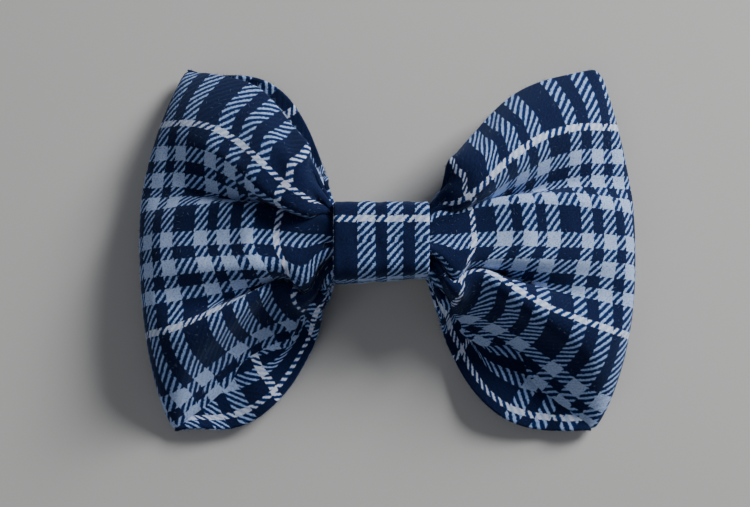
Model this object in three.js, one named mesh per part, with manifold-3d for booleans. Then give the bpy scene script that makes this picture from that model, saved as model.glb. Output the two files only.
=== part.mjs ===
// A pre-tied clip-on bow tie in plaid cotton flannel, lying on its back.
//
// Frame: millimetres. +X runs along the bow's width, +Y up its height and +Z out of its front.
// The origin is at the middle of the bow's outline, on the surface that it lies on.
//
// The bow is one lined strip of cloth: its front runs from fold to fold under the knot, its
// two ends fold back behind it and meet at the centre back. Thread gathers its middle, a band
// of the same cloth makes the knot, and a two-jaw spring clip sits behind the knot.

import * as THREE from 'three';
import { mergeVertices } from 'three/addons/utils/BufferGeometryUtils.js';
import Module from 'manifold-3d';

const wasm = await Module();
wasm.setup();

// ---------------------------------------------------------------- driving dimensions

const GAP = 0.3;               // kept between pieces that touch on the real bow

// The strip, seam to seam, and where its pieces lie.
const KNOT_X = -2;             // the knot sits a little left of the middle of the outline
const LOOPS = {
  right: { side: 1, reach: 61.3, cornerReach: 51 },   // knot centre to fold, and to corner
  left: { side: -1, reach: 57.3, cornerReach: 47.6 },
};
const CORNER_HALF_HEIGHT = 44.3;   // half the strip's height at its corners
const WAIST_HALF_HEIGHT = 7;       // half the height that the strip is gathered to
const WAIST_HALF_LENGTH = 11.5;    // half the stretch of strip that the knot covers
const CREST_Z = 24;                // middle of the strip's thickness, at its parts' heights
const CREST_RIM_Z = 11.5;
const FOLD_Z = 11.5;
const FOLD_CORNER_Z = 3.2;
const WAIST_FRONT_Z = 20.2;
const WAIST_BACK_Z = 12.5;
const EDGE_CURVE = 2.2;            // how late the folds and crests bend away towards the edges
const FRONT_SPREAD = 1.8;          // how fast each panel opens out from the knot
const BACK_SPREAD = 3.4;
const ROLL = 5;                    // how sharply the front and back turn at the fold
const RIDGE_HEIGHT = 1.2;          // ridges that the gathers raise beside the knot
const BACK_SAG = 1.2;
const BACK_FLAT_FROM = 26;         // the back panel leaves the clip here and lies flat from there
const BACK_FLAT_TO = 42;

// The strip's three layers.
const CLOTH = 0.5;
const INTERFACING = 0.3;
const STRIP_HALF = INTERFACING / 2 + GAP + CLOTH;

// The knot.
const BAND_HALF_WIDTH = 11.1;
const BAND_HALF_HEIGHT = 9.6;
const BAND_BOTTOM_Z = 7.9;
const BAND_TOP_Z = 23.7;
const BAND_CLOTH = 0.65;
const BAND_INTERFACING = 0.4;
const THREAD_RADIUS = 0.25;
const BINDING_TURNS = 5;
const BINDING_PITCH = 0.85;
const BAND_CORNER = 2.2;           // radius of the band's corners, and of its interfacing's
const STITCH_COUNT = 7;
const STITCH_HALF_RUN = 8.4;
const STITCH_HALF_SPAN = 0.9;

// The clip.
const SHEET_METAL = 0.7;
const PLATE_HALF_LENGTH = 25;
const PLATE_HALF_WIDTH = 4.5;
const PLATE_Z = 9.7;               // underside of the base plate
const PIN_X = 14.5;                // from the knot's centre
const PIN_Z = 6.5;
const PIN_RADIUS = 0.7;
const PIN_HEAD_RADIUS = 1.25;
const PIN_HEAD_LENGTH = 0.4;
const HOLE_RADIUS = 1;
const EAR_RADIUS = 1.8;
const BASE_EAR_Y = 3.7;            // inner face of each base ear
const JAW_EAR_Y = 2.7;             // inner face of each jaw ear
const EAR_THICKNESS = 0.6;
const JAW_DROP = 2.2;              // from the pin's axis down to the jaw's upper face
const JAW_TIP = 9.8;               // from the pin's axis out to the jaw's tip
const TAB_END = 9.5;               // from the pin's axis in to the end of the thumb tab
const TAB_SLOPE = 0.4;             // drop of the thumb tab's end
const TOOTH_COUNT = 5;
const TOOTH_HEIGHT = 1;
const WIRE_RADIUS = 0.3;
const COIL_RADIUS = 1.4;
const COIL_TURNS = 4.25;
const COIL_HALF_LENGTH = 1.6;

// ---------------------------------------------------------------- materials

const steel = new THREE.MeshStandardMaterial({ color: 0xb9bcc0, roughness: 0.3, metalness: 1 });
const springSteel = new THREE.MeshStandardMaterial({ color: 0x8d9094, roughness: 0.35, metalness: 1 });
const flannel = new THREE.MeshStandardMaterial({ color: 0x1c2b57, roughness: 0.95, metalness: 0 });
const liningFlannel = new THREE.MeshStandardMaterial({ color: 0x22325f, roughness: 0.95, metalness: 0 });
const fusible = new THREE.MeshStandardMaterial({ color: 0xdcdcd8, roughness: 0.9, metalness: 0 });
const navyThread = new THREE.MeshStandardMaterial({ color: 0x101a3a, roughness: 0.7, metalness: 0 });

// ---------------------------------------------------------------- helpers

const { lerp, smoothstep } = THREE.MathUtils;

function toSolid(geometry) {
  const bare = geometry.clone();
  bare.deleteAttribute('normal');
  bare.deleteAttribute('uv');
  const merged = mergeVertices(bare, 1e-5);
  return new wasm.Manifold(new wasm.Mesh({
    numProp: 3,
    vertProperties: Float32Array.from(merged.attributes.position.array),
    triVerts: Uint32Array.from(merged.index.array),
  }));
}

function toGeometry(solid) {
  const mesh = solid.getMesh();
  const geometry = new THREE.BufferGeometry();
  geometry.setAttribute('position', new THREE.BufferAttribute(mesh.vertProperties, 3));
  geometry.setIndex(new THREE.BufferAttribute(mesh.triVerts, 1));
  geometry.computeVertexNormals();
  return geometry;
}

function join(geometries) {
  return toGeometry(geometries.map(toSolid).reduce((whole, piece) => whole.add(piece)));
}

function named(name, geometry, material) {
  const mesh = new THREE.Mesh(geometry, material);
  mesh.name = name;
  return mesh;
}

function box(x0, x1, y0, y1, z0, z1) {
  const geometry = new THREE.BoxGeometry(x1 - x0, y1 - y0, z1 - z0);
  return geometry.translate((x0 + x1) / 2, (y0 + y1) / 2, (z0 + z1) / 2);
}

// An outline drawn in X and Z, given thickness along Y from y0 to y1.
function plateAcross(shape, y0, y1, curveSegments = 8) {
  const geometry = new THREE.ExtrudeGeometry(shape, { depth: y1 - y0, bevelEnabled: false, curveSegments });
  return geometry.rotateX(Math.PI / 2).translate(0, y1, 0);
}

function tubeAlong(curve, radius, steps, sides) {
  const section = new THREE.Shape();
  for (let i = 0; i < sides; i++) {
    const angle = (2 * Math.PI * i) / sides;
    const point = [radius * Math.cos(angle), radius * Math.sin(angle)];
    if (i === 0) section.moveTo(...point);
    else section.lineTo(...point);
  }
  return new THREE.ExtrudeGeometry(section, { steps, extrudePath: curve, bevelEnabled: false });
}

class PathCurve extends THREE.Curve {
  constructor(pointAt) {
    super();
    this.pointAt = pointAt;
  }

  getPoint(t, target = new THREE.Vector3()) {
    return target.copy(this.pointAt(t));
  }
}

// ---------------------------------------------------------------- the strip

// Middle of the strip's thickness. along runs from 0 at the front under the knot, through 0.5
// at the loop's fold, to 1 at the back under the knot; across runs from -1 to 1 up its height.
const WAIST_SHARE = 1 / 22;        // share of the strip's segments that the knot covers, each end
function stripPoint(loop, along, across) {
  const front = along < 0.5;
  const half = front ? along * 2 : (1 - along) * 2;      // 0 under the knot, 1 at the fold
  const rim = Math.abs(across);
  const reach = lerp(loop.reach, loop.cornerReach, rim ** EDGE_CURVE);
  const waist = 2 * WAIST_SHARE;
  const step = Math.max(0, (half - waist) / (1 - waist));
  const out = 1 - (1 - step) ** 1.5;                     // share of the way to the fold
  const x = half < waist
    ? (WAIST_HALF_LENGTH * half) / waist
    : lerp(WAIST_HALF_LENGTH, reach, out);

  const spread = 1 - (1 - out) ** (front ? FRONT_SPREAD : BACK_SPREAD);
  const y = across * lerp(WAIST_HALF_HEIGHT, CORNER_HALF_HEIGHT, spread);

  const apex = lerp(FOLD_Z, FOLD_CORNER_Z, rim ** 2);
  const roll = Math.sqrt(1 - out ** ROLL);
  let z;
  if (front) {
    const nearKnot = smoothstep(out, 0, 0.1) * (1 - smoothstep(out, 0.1, 0.6));
    const ridge = RIDGE_HEIGHT * Math.cos(3 * Math.PI * across) * nearKnot;
    const crest = lerp(CREST_Z, CREST_RIM_Z, rim ** EDGE_CURVE);
    z = lerp(apex, lerp(WAIST_FRONT_Z, crest, smoothstep(out, 0, 0.5)) + ridge, roll);
  } else {
    const away = 1 - smoothstep(Math.hypot(x, 1.6 * y), BACK_FLAT_FROM, BACK_FLAT_TO);
    const back = lerp(STRIP_HALF, WAIST_BACK_Z, away);
    z = Math.max(STRIP_HALF, lerp(apex, back - BACK_SAG * (1 - away), roll));
  }
  return new THREE.Vector3(loop.side * x, y, z);
}

// The strip as a whole: 0 and 1 are its two ends, which meet behind the knot.
function wholeStripPoint(along, across) {
  const loop = along < 0.5 ? LOOPS.left : LOOPS.right;
  const within = along < 0.5 ? 1 - 2 * along : 2 * along - 1;
  const point = stripPoint(loop, Math.min(Math.max(within, 0), 1), across);
  const endGap = GAP * smoothstep(within, 0.95, 1);
  point.x += loop.side * endGap;
  return point;
}

function stripNormal(along, across) {
  const e = 1e-4;
  const a = wholeStripPoint(Math.max(along - e, 0), across);
  const b = wholeStripPoint(Math.min(along + e, 1), across);
  const c = wholeStripPoint(along, across - e);
  const d = wholeStripPoint(along, across + e);
  return b.sub(a).cross(d.sub(c)).normalize();
}

// One layer of the strip, from inner to outer along the strip's normal: a grid of points on
// each face, both split along the same diagonals, and a wall round their common edge.
const STRIP_SEGMENTS = 44;
const HEIGHT_SEGMENTS = 12;
function stripLayer(inner, outer) {
  const columns = STRIP_SEGMENTS + 1;
  const rows = HEIGHT_SEGMENTS + 1;
  const points = [];
  for (const offset of [outer, inner]) {
    for (let j = 0; j < rows; j++) {
      for (let i = 0; i < columns; i++) {
        const along = i / STRIP_SEGMENTS;
        const across = (2 * j) / HEIGHT_SEGMENTS - 1;
        points.push(wholeStripPoint(along, across).addScaledVector(stripNormal(along, across), offset));
      }
    }
  }
  const onFace = (face, i, j) => (face * rows + j) * columns + i;
  const triangles = [];
  const quad = (a, b, c, d) => triangles.push(a, b, c, a, c, d);
  for (let j = 0; j < HEIGHT_SEGMENTS; j++) {
    for (let i = 0; i < STRIP_SEGMENTS; i++) {
      quad(onFace(0, i, j), onFace(0, i + 1, j), onFace(0, i + 1, j + 1), onFace(0, i, j + 1));
      triangles.push(onFace(1, i, j), onFace(1, i + 1, j + 1), onFace(1, i + 1, j));
      triangles.push(onFace(1, i, j), onFace(1, i, j + 1), onFace(1, i + 1, j + 1));
    }
    quad(onFace(1, 0, j), onFace(0, 0, j), onFace(0, 0, j + 1), onFace(1, 0, j + 1));
    const last = STRIP_SEGMENTS;
    quad(onFace(0, last, j), onFace(1, last, j), onFace(1, last, j + 1), onFace(0, last, j + 1));
  }
  for (let i = 0; i < STRIP_SEGMENTS; i++) {
    quad(onFace(1, i, 0), onFace(1, i + 1, 0), onFace(0, i + 1, 0), onFace(0, i, 0));
    const last = HEIGHT_SEGMENTS;
    quad(onFace(0, i, last), onFace(0, i + 1, last), onFace(1, i + 1, last), onFace(1, i, last));
  }
  const geometry = new THREE.BufferGeometry().setFromPoints(points).setIndex(triangles);
  geometry.computeVertexNormals();
  return geometry;
}

const strip = [
  named('outer_cloth', stripLayer(STRIP_HALF - CLOTH, STRIP_HALF), flannel),
  named('interfacing', stripLayer(-INTERFACING / 2, INTERFACING / 2), fusible),
  named('lining', stripLayer(-STRIP_HALF, CLOTH - STRIP_HALF), liningFlannel),
];

// ---------------------------------------------------------------- the knot

function roundedRectangle(halfWidth, bottom, top, radius) {
  const shape = new THREE.Shape();
  shape.moveTo(halfWidth, bottom + radius);
  shape.lineTo(halfWidth, top - radius);
  shape.absarc(halfWidth - radius, top - radius, radius, 0, Math.PI / 2);
  shape.lineTo(-halfWidth + radius, top);
  shape.absarc(-halfWidth + radius, top - radius, radius, Math.PI / 2, Math.PI);
  shape.lineTo(-halfWidth, bottom + radius);
  shape.absarc(-halfWidth + radius, bottom + radius, radius, Math.PI, 1.5 * Math.PI);
  shape.lineTo(halfWidth - radius, bottom);
  shape.absarc(halfWidth - radius, bottom + radius, radius, 1.5 * Math.PI, 2 * Math.PI);
  return shape;
}

// A flat ring round the strip's waist, its outside the given distance inside the band's.
function waistRing(inset, thickness, halfWidth) {
  const section = (depth) => roundedRectangle(
    BAND_HALF_HEIGHT - depth, BAND_BOTTOM_Z + depth, BAND_TOP_Z - depth, BAND_CORNER - depth,
  );
  const ring = section(inset);
  ring.holes.push(section(inset + thickness));
  const geometry = new THREE.ExtrudeGeometry(ring, { depth: 2 * halfWidth, bevelEnabled: false, curveSegments: 6 });
  return geometry.rotateX(Math.PI / 2).rotateZ(Math.PI / 2).translate(-halfWidth, 0, 0);
}

// The thread's path round the waist: a rounded rectangle in Y and Z that advances along X.
function bindingCurve() {
  const clear = 1.5 * GAP + THREAD_RADIUS;
  const halfHeight = WAIST_HALF_HEIGHT + clear;
  const bottom = WAIST_BACK_Z - STRIP_HALF - clear;
  const top = WAIST_FRONT_Z + STRIP_HALF + clear;
  const loop = roundedRectangle(halfHeight, bottom, top, clear);
  return new PathCurve((t) => {
    const turn = t * BINDING_TURNS;
    const onLoop = loop.getPointAt(turn % 1);
    return new THREE.Vector3((turn - BINDING_TURNS / 2) * BINDING_PITCH, onLoop.x, onLoop.y);
  });
}

// Whip stitches that close the band across its back, lying on its outside.
function bandStitchCurve() {
  const z = BAND_BOTTOM_Z - GAP - THREAD_RADIUS;
  const points = [];
  for (let i = 0; i <= 2 * STITCH_COUNT; i++) {
    const x = lerp(-STITCH_HALF_RUN, STITCH_HALF_RUN, i / (2 * STITCH_COUNT));
    points.push(new THREE.Vector3(x, i % 2 ? STITCH_HALF_SPAN : -STITCH_HALF_SPAN, z));
  }
  return new THREE.CatmullRomCurve3(points);
}

const knot = [
  named('knot_band', waistRing(0, BAND_CLOTH, BAND_HALF_WIDTH), flannel),
  named('knot_interfacing', waistRing(BAND_CLOTH + GAP, BAND_INTERFACING, BAND_HALF_WIDTH - 0.8), fusible),
  named('waist_thread', tubeAlong(bindingCurve(), THREAD_RADIUS, 140, 6), navyThread),
  named('band_stitch', tubeAlong(bandStitchCurve(), THREAD_RADIUS, 40, 6), navyThread),
];

// ---------------------------------------------------------------- the clip

// An ear round the pin's axis, reaching up (rise > 0) or down (rise < 0) to the sheet it stands on.
function ear(rise, halfWidth, y0, y1) {
  const shape = new THREE.Shape();
  const up = Math.sign(rise);
  shape.moveTo(-halfWidth, rise);
  shape.lineTo(-EAR_RADIUS, 0);
  shape.absarc(0, 0, EAR_RADIUS, Math.PI, 0, up < 0);
  shape.lineTo(halfWidth, rise);
  const hole = new THREE.Path();
  hole.absarc(0, 0, HOLE_RADIUS, 0, 2 * Math.PI);
  shape.holes.push(hole);
  return plateAcross(shape, y0, y1);
}

function pairOfEars(rise, halfWidth, innerFace) {
  return [
    ear(rise, halfWidth, innerFace, innerFace + EAR_THICKNESS),
    ear(rise, halfWidth, -innerFace - EAR_THICKNESS, -innerFace),
  ];
}

function clipBase() {
  const plate = box(
    -PLATE_HALF_LENGTH, PLATE_HALF_LENGTH,
    -PLATE_HALF_WIDTH, PLATE_HALF_WIDTH,
    PLATE_Z, PLATE_Z + SHEET_METAL,
  );
  const rise = PLATE_Z - PIN_Z + SHEET_METAL / 2;
  const ears = [-PIN_X, PIN_X].flatMap((x) => pairOfEars(rise, EAR_RADIUS + 0.4, BASE_EAR_Y)
    .map((geometry) => geometry.translate(x, 0, PIN_Z)));
  return join([plate, ...ears]);
}

// The jaw about its pin: a thumb tab inwards, a plate outwards and a toothed lip at the tip.
function jaw() {
  const top = -JAW_DROP;
  const bottom = top - SHEET_METAL;
  const side = new THREE.Shape();
  side.moveTo(-TAB_END, top - TAB_SLOPE);
  side.lineTo(-TAB_END, bottom - TAB_SLOPE);
  side.lineTo(-EAR_RADIUS, bottom);
  side.lineTo(JAW_TIP, bottom);
  side.lineTo(JAW_TIP, top);
  side.lineTo(-EAR_RADIUS, top);
  const plate = plateAcross(side, -PLATE_HALF_WIDTH, PLATE_HALF_WIDTH);

  const lipTop = PLATE_Z - PIN_Z - GAP;
  const lip = new THREE.Shape();
  const pitch = (2 * PLATE_HALF_WIDTH) / TOOTH_COUNT;
  lip.moveTo(-PLATE_HALF_WIDTH, bottom);
  lip.lineTo(PLATE_HALF_WIDTH, bottom);
  for (let i = 0; i < TOOTH_COUNT; i++) {
    const y = PLATE_HALF_WIDTH - i * pitch;
    lip.lineTo(y, lipTop - TOOTH_HEIGHT);
    lip.lineTo(y - pitch / 2, lipTop);
  }
  lip.lineTo(-PLATE_HALF_WIDTH, lipTop - TOOTH_HEIGHT);
  const teeth = new THREE.ExtrudeGeometry(lip, { depth: SHEET_METAL, bevelEnabled: false })
    .rotateX(Math.PI / 2).rotateZ(Math.PI / 2).translate(JAW_TIP - SHEET_METAL, 0, 0);

  return join([plate, teeth, ...pairOfEars(top - SHEET_METAL / 2, EAR_RADIUS + 0.4, JAW_EAR_Y)]);
}

function pin() {
  const shoulder = BASE_EAR_Y + EAR_THICKNESS + GAP;
  const end = shoulder + PIN_HEAD_LENGTH;
  const profile = [
    [0, -end], [PIN_HEAD_RADIUS, -end], [PIN_HEAD_RADIUS, -shoulder], [PIN_RADIUS, -shoulder],
    [PIN_RADIUS, shoulder], [PIN_HEAD_RADIUS, shoulder], [PIN_HEAD_RADIUS, end], [0, end],
  ];
  return new THREE.LatheGeometry(profile.map(([r, y]) => new THREE.Vector2(r, y)), 16);
}

// The spring about its pin: one leg along the thumb tab, the coil, and one leg up to the plate.
function springCurve() {
  const tabLeg = 5.5;
  const plateLeg = PLATE_Z - PIN_Z - GAP;
  const coilLength = 2 * Math.PI * COIL_RADIUS * COIL_TURNS;
  const total = tabLeg + coilLength + plateLeg;
  return new PathCurve((t) => {
    const run = t * total;
    if (run < tabLeg) return new THREE.Vector3(run - tabLeg, -COIL_HALF_LENGTH, -COIL_RADIUS);
    if (run > tabLeg + coilLength) {
      return new THREE.Vector3(COIL_RADIUS, COIL_HALF_LENGTH, run - tabLeg - coilLength);
    }
    const share = (run - tabLeg) / coilLength;
    const angle = -Math.PI / 2 + 2 * Math.PI * COIL_TURNS * share;
    return new THREE.Vector3(
      COIL_RADIUS * Math.cos(angle),
      lerp(-COIL_HALF_LENGTH, COIL_HALF_LENGTH, share),
      COIL_RADIUS * Math.sin(angle),
    );
  });
}

// The jaw, pin and spring of one end, turned half round for the left end.
function clipEnd(label, side) {
  const end = new THREE.Group();
  end.position.set(side * PIN_X, 0, PIN_Z);
  end.rotation.z = side > 0 ? 0 : Math.PI;
  end.add(
    named(`${label}_jaw`, jaw(), steel),
    named(`${label}_pin`, pin(), steel),
    named(`${label}_spring`, tubeAlong(springCurve(), WIRE_RADIUS, 96, 6), springSteel),
  );
  return end;
}

// ---------------------------------------------------------------- the bow tie

const group = new THREE.Group();
group.position.x = KNOT_X;
group.add(...strip, ...knot);
group.add(named('clip_base', clipBase(), steel));
group.add(clipEnd('left', -1), clipEnd('right', 1));

export default group;
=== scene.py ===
# A pre-tied clip-on bow tie in brushed plaid flannel, lying on its back on a pale table.
#
# Laid out as an add-on and run as a script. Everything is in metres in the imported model's
# frame: +X along the bow's width, +Y up its height, +Z out of its front, origin under the
# middle of the bow. Sizes that tailors and weavers give in millimetres are kept in
# millimetres and turned to metres when a mesh is made.

import math

import bpy
import numpy as np
from bpy.props import FloatProperty, FloatVectorProperty, IntProperty, PointerProperty
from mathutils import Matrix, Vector


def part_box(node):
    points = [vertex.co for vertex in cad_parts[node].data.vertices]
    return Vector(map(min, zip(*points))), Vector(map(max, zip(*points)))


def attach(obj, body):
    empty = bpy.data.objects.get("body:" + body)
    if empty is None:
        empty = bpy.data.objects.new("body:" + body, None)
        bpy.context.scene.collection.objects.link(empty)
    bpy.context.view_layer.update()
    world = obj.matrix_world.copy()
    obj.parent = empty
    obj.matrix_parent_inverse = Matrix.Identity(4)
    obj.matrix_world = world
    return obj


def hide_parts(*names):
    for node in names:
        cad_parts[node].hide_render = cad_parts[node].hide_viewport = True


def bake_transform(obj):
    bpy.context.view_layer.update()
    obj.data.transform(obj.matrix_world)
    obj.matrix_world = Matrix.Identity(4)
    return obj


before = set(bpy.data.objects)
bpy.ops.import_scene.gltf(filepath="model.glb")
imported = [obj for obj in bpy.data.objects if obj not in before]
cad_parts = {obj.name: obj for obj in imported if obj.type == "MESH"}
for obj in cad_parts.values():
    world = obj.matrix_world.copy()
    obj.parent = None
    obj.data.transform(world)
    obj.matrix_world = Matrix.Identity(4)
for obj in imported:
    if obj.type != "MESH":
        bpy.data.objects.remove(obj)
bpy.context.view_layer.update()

bl_info = {
    "name": "Plaid bow tie",
    "version": (1, 0, 0),
    "blender": (4, 5, 0),
    "location": "3D View > Sidebar > Bow Tie",
    "description": "Builds a pre-tied flannel bow tie round its packed frame",
    "category": "Add Mesh",
}

MM = 0.001
MM_PER_DM = 100.0

# ------------------------------------------------------------------ places from the frame

BAND_LOW, BAND_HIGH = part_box("knot_band")
KNOT_X = (BAND_LOW.x + BAND_HIGH.x) / 2 / MM
BAND_HALF = (BAND_HIGH.x - BAND_LOW.x) / 2 / MM
BAND_HALF_HEIGHT = (BAND_HIGH.y - BAND_LOW.y) / 2 / MM
BAND_TOP = BAND_HIGH.z / MM
BAND_BOTTOM = BAND_LOW.z / MM


# ------------------------------------------------------------------ what a user may change

class StripSizes(bpy.types.PropertyGroup):
    """The lined strip that makes the two loops, in millimetres."""

    height: FloatProperty(name="Strip height", description="Seam to seam", default=90.5)
    loop_length: FloatProperty(
        name="Loop length", description="Cloth from the knot's edge to a fold", default=61.0,
    )
    cloth: FloatProperty(name="Cloth thickness", description="One layer of flannel", default=0.45)
    grid: FloatProperty(name="Grid", description="Spacing of the simulated grid", default=1.5)
    frames: IntProperty(name="Frames", description="How long the cloth settles", default=16)


class BandSizes(bpy.types.PropertyGroup):
    """The band of cloth that makes the knot, in millimetres."""

    cloth: FloatProperty(name="Cloth thickness", description="The band's flannel", default=0.5)
    turn_in: FloatProperty(name="Turn-in", description="Cloth turned under along each edge", default=1.1)
    overlap: FloatProperty(name="Overlap", description="How far one end laps over the other", default=3.2)
    taper: FloatProperty(name="Taper", description="How much shorter the right side is", default=1.6)


class StageColours(bpy.types.PropertyGroup):
    """The table and the lights."""

    table: FloatVectorProperty(
        name="Table", description="Colour of the table top", subtype="COLOR", default=(0.62, 0.61, 0.59),
    )
    light: FloatProperty(
        name="Window light", description="Strength of the window light", default=13.0, unit="POWER",
    )
    elevation: FloatProperty(
        name="Camera elevation", description="Height of the camera above the table",
        default=math.radians(82.5), subtype="ANGLE",
    )


# ------------------------------------------------------------------ small tools

def smooth(x, low, high):
    """0 below low, 1 above high, and a smooth step between."""
    t = np.clip((np.asarray(x, float) - low) / (high - low), 0, 1)
    return t * t * (3 - 2 * t)


def mix(a, b, t):
    """a at 0, b at 1, and in step between."""
    return a + (b - a) * t


def linear(hex_colour):
    """An sRGB hex colour as linear RGBA."""
    channels = [int(hex_colour[i:i + 2], 16) / 255 for i in (1, 3, 5)]
    return tuple(c / 12.92 if c <= 0.04045 else ((c + 0.055) / 1.055) ** 2.4 for c in channels) + (1.0,)


def feed(made, inputs):
    """Sets a node's inputs to values, or links them from other nodes or their sockets."""
    for socket, value in inputs.items():
        if isinstance(value, bpy.types.Node):
            value = value.outputs[0]
        if isinstance(value, bpy.types.NodeSocket):
            made.id_data.links.new(value, made.inputs[socket])
        else:
            made.inputs[socket].default_value = value
    return made


def node(tree, kind, inputs, stops=(), **settings):
    """Adds a shader node with its settings, its inputs by socket or as a list in order, and a
    ramp's stops, each (position, linear colour)."""
    made = tree.nodes.new("ShaderNode" + kind)
    for key, value in settings.items():
        setattr(made, key, value)
    if stops:
        elements = made.color_ramp.elements
        elements.remove(elements[1])
        for index, (position, colour) in enumerate(stops):
            stop = elements.new(position) if index else elements[0]
            stop.position = position
            stop.color = colour
    return feed(made, inputs if isinstance(inputs, dict) else dict(enumerate(inputs)))


def new_material(name):
    """A new material, its node tree and its surface shader."""
    material = bpy.data.materials.new(name)
    material.use_nodes = True
    tree = material.node_tree
    return material, tree, tree.nodes["Principled BSDF"]


def mesh_object(name, points_mm, faces):
    """A smooth-shaded mesh from points in millimetres."""
    mesh = bpy.data.meshes.new(name)
    mesh.from_pydata((np.asarray(points_mm) * MM).tolist(), [], faces)
    mesh.validate()
    mesh.polygons.foreach_set("use_smooth", [True] * len(mesh.polygons))
    piece = bpy.data.objects.new(name, mesh)
    bpy.context.scene.collection.objects.link(piece)
    return piece


def square(name, half):
    """A flat square on the table's plane, in millimetres."""
    corners = [(-half, -half, 0), (half, -half, 0), (half, half, 0), (-half, half, 0)]
    return mesh_object(name, corners, [(0, 1, 2, 3)])


def map_cloth(piece, places_mm):
    """Gives a mesh its UV map, each point's place in the flat cloth or along the thread, in
    decimetres."""
    corners = np.empty(len(piece.data.loops), int)
    piece.data.loops.foreach_get("vertex_index", corners)
    places = (places_mm / MM_PER_DM)[corners].astype(np.float32)
    piece.data.uv_layers.new(name="cloth").data.foreach_set("uv", places.ravel())


# ------------------------------------------------------------------ the strip's shape

class Pleat:
    """One valley folded into the front of a loop. Places are up the strip in millimetres, slopes
    in degrees; the valley dies away towards the loop's fold."""

    def __init__(self, low, bottom, high, down, up, reach, sharpness):
        self.low, self.bottom, self.high = low, bottom, high
        self.down, self.up = math.radians(down), math.radians(up)
        self.reach, self.sharpness = reach, sharpness

    def slope(self, v, out):
        """Slope that the pleat gives the cloth at each place up the strip."""
        strength = max(0.0, 1 - (out / self.reach) ** self.sharpness)
        past_low, past_bottom, past_high = [
            smooth(v, place - PLEAT_EASE, place + PLEAT_EASE)
            for place in (self.low, self.bottom, self.high)
        ]
        falls, rises = past_low * (1 - past_bottom), past_bottom * (1 - past_high)
        return strength * (self.up * rises - self.down * falls)


class Loop:
    """How one loop of the bow lies. Lengths are in millimetres and slopes in degrees."""

    def __init__(self, side, reach, corners, crest, roll, pleats, slopes, spreads, back_spreads):
        self.side, self.reach = side, reach
        self.corners = corners        # reach at the upper and the lower corner
        self.crest, self.roll = crest, roll
        self.pleats = pleats
        self.lower_slope, self.upper_slope = [math.radians(slope) for slope in slopes]
        self.spreads = spreads        # how fast the front opens out, above and below
        self.back_spreads = back_spreads

    def lie(self, v):
        """Slope of the front away from its pleats: flat on top, falling to its lower edge."""
        lower = self.lower_slope * (1 - smooth(v, -30, -14))
        upper = -self.upper_slope * smooth(v, 28, 44)
        return lower + upper


PLEAT_EASE = 1.2
RIGHT = Loop(
    side=1, reach=61.3, corners=(51.0, 52.0), crest=22.5, roll=5.0, slopes=(38, 6),
    pleats=[Pleat(10.5, 17.0, 30.0, 82, 58, 1.0, 5), Pleat(-21.0, -12.5, -4.0, 64, 64, 0.95, 3)],
    spreads=(2.5, 1.65), back_spreads=(1.9, 3.8),
)
LEFT = Loop(
    side=-1, reach=57.3, corners=(43.5, 49.5), crest=24.5, roll=6.5, slopes=(32, 6),
    pleats=[Pleat(8.5, 14.5, 26.0, 78, 60, 0.95, 3), Pleat(-21.5, -16.5, -7.0, 78, 52, 0.9, 3)],
    spreads=(2.5, 1.55), back_spreads=(3.7, 3.4),
)
BACK_PLEATS = [
    Pleat(-38, -30, -22, 55, 55, 0.5, 1), Pleat(-16, -8, 0, 55, 55, 0.4, 1),
    Pleat(10, 18, 26, 55, 55, 0.5, 1),
]
WAIST_HALF_HEIGHT = 7.3
CORNER_HALF_HEIGHT = 44.5
FOLD_Z, FOLD_CORNER_Z = 11.5, 3.2
WAIST_FRONT_Z, WAIST_BACK_Z = 18.9, 13.2
LOWEST_FRONT_Z = 4.0
STRIP_HALF = 0.95             # from the middle of the strip to the table under it
INTERFACING_HALF = 0.16
LAYER_GAP = 0.05
ROW_SPACING, SEAM_ROLL = 0.75, 0.8
EDGE_CURVE = 2.2              # how late the fold bends away towards its corners
GATHER_DEPTH = 2.4
GATHER_REACH = 0.25           # share of a loop that the small gathers run into
GATHER_WIDTH = 8.3            # cloth that one gather takes up
GATHER_SLOPE = math.radians(45)
TONGUE_RISE = 2.2
TONGUE_SHARE = 0.3            # of the section's cloth that the tongue is
BACK_FLAT_FROM, BACK_FLAT_TO = 26, 42   # the back leaves the clip here and lies flat from there
STEEPEST = math.radians(86)


def tongue(v):
    """The stretch of cloth up the strip's middle that leaves the knot flat, between the gathers."""
    return smooth(v, -9, -5) * (1 - smooth(v, 8, 12))


def across_curve(v, slope, gather, half_height):
    """The strip's section across the loop: its folds steepen until it is as high as it should
    be. It keeps the cloth's own length, so nothing stretches."""
    step = np.gradient(v)
    ripple = GATHER_SLOPE * np.sin(2 * np.pi * v / GATHER_WIDTH + 0.6) * gather ** 2
    ripple = ripple * (1 - 0.85 * tongue(v))

    def bent(scale):
        return np.clip(slope * scale + ripple * scale, -STEEPEST, STEEPEST)

    low, high = 0.0, 4.0
    target = 2 * half_height
    for _ in range(30):
        middle = (low + high) / 2
        if np.sum(np.cos(bent(middle)) * step) > target:
            low = middle
        else:
            high = middle
    angle = bent(high)
    shrink = target / np.sum(np.cos(angle) * step)
    y = np.cumsum(np.cos(angle) * step) * shrink
    z = np.cumsum(np.sin(angle) * step)
    y -= np.interp(0.0, v, y)
    return y, z - np.interp(3.0, v, z)


def gathers_of(v, fall, depth):
    """A section's small gathers without its broad rise and fall, no deeper than depth."""
    width = max(3, round(len(v) * 0.16)) | 1
    padded = np.pad(fall, width // 2, mode="edge")
    small = fall - np.convolve(padded, np.ones(width) / width, mode="valid")
    return depth * np.tanh(small / depth)


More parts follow.
